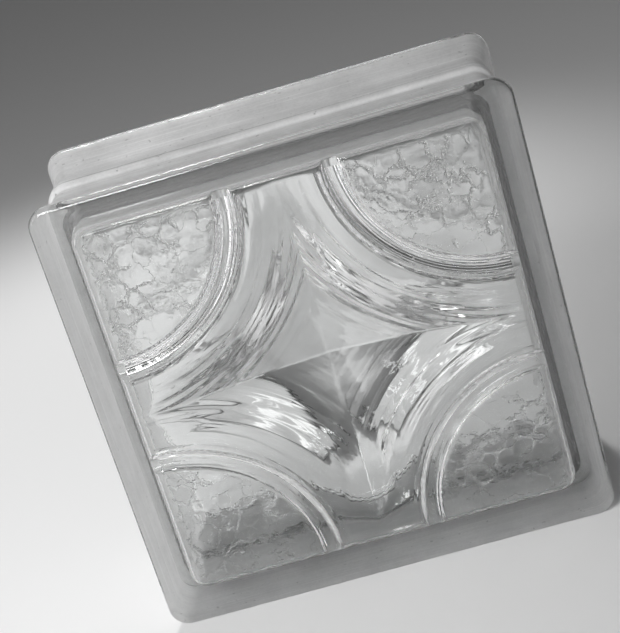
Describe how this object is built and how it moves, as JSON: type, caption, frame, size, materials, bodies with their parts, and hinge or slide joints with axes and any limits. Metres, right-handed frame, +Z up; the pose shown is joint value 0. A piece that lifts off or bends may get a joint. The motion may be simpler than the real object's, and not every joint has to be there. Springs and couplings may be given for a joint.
{
  "type": "hollow glass block",
  "caption": "Square hollow glass block of two fused pressed halves, with a star and quarter-round relief inside and mortar channels round the edge.",
  "frame": {"origin": "middle of the bottom edge, on the floor the block stands on", "axes": "+X along the width, +Y from the front face to the back face, +Z up"},
  "size_m": [0.19, 0.08, 0.19],
  "materials": {
    "clear_glass": "fire-polished clear outside, pressed relief inside, matt white coating on the mortar edges"
  },
  "bodies": {
    "root": {"front_shell": "clear_glass", "back_shell": "clear_glass"}
  },
  "joints": []
}
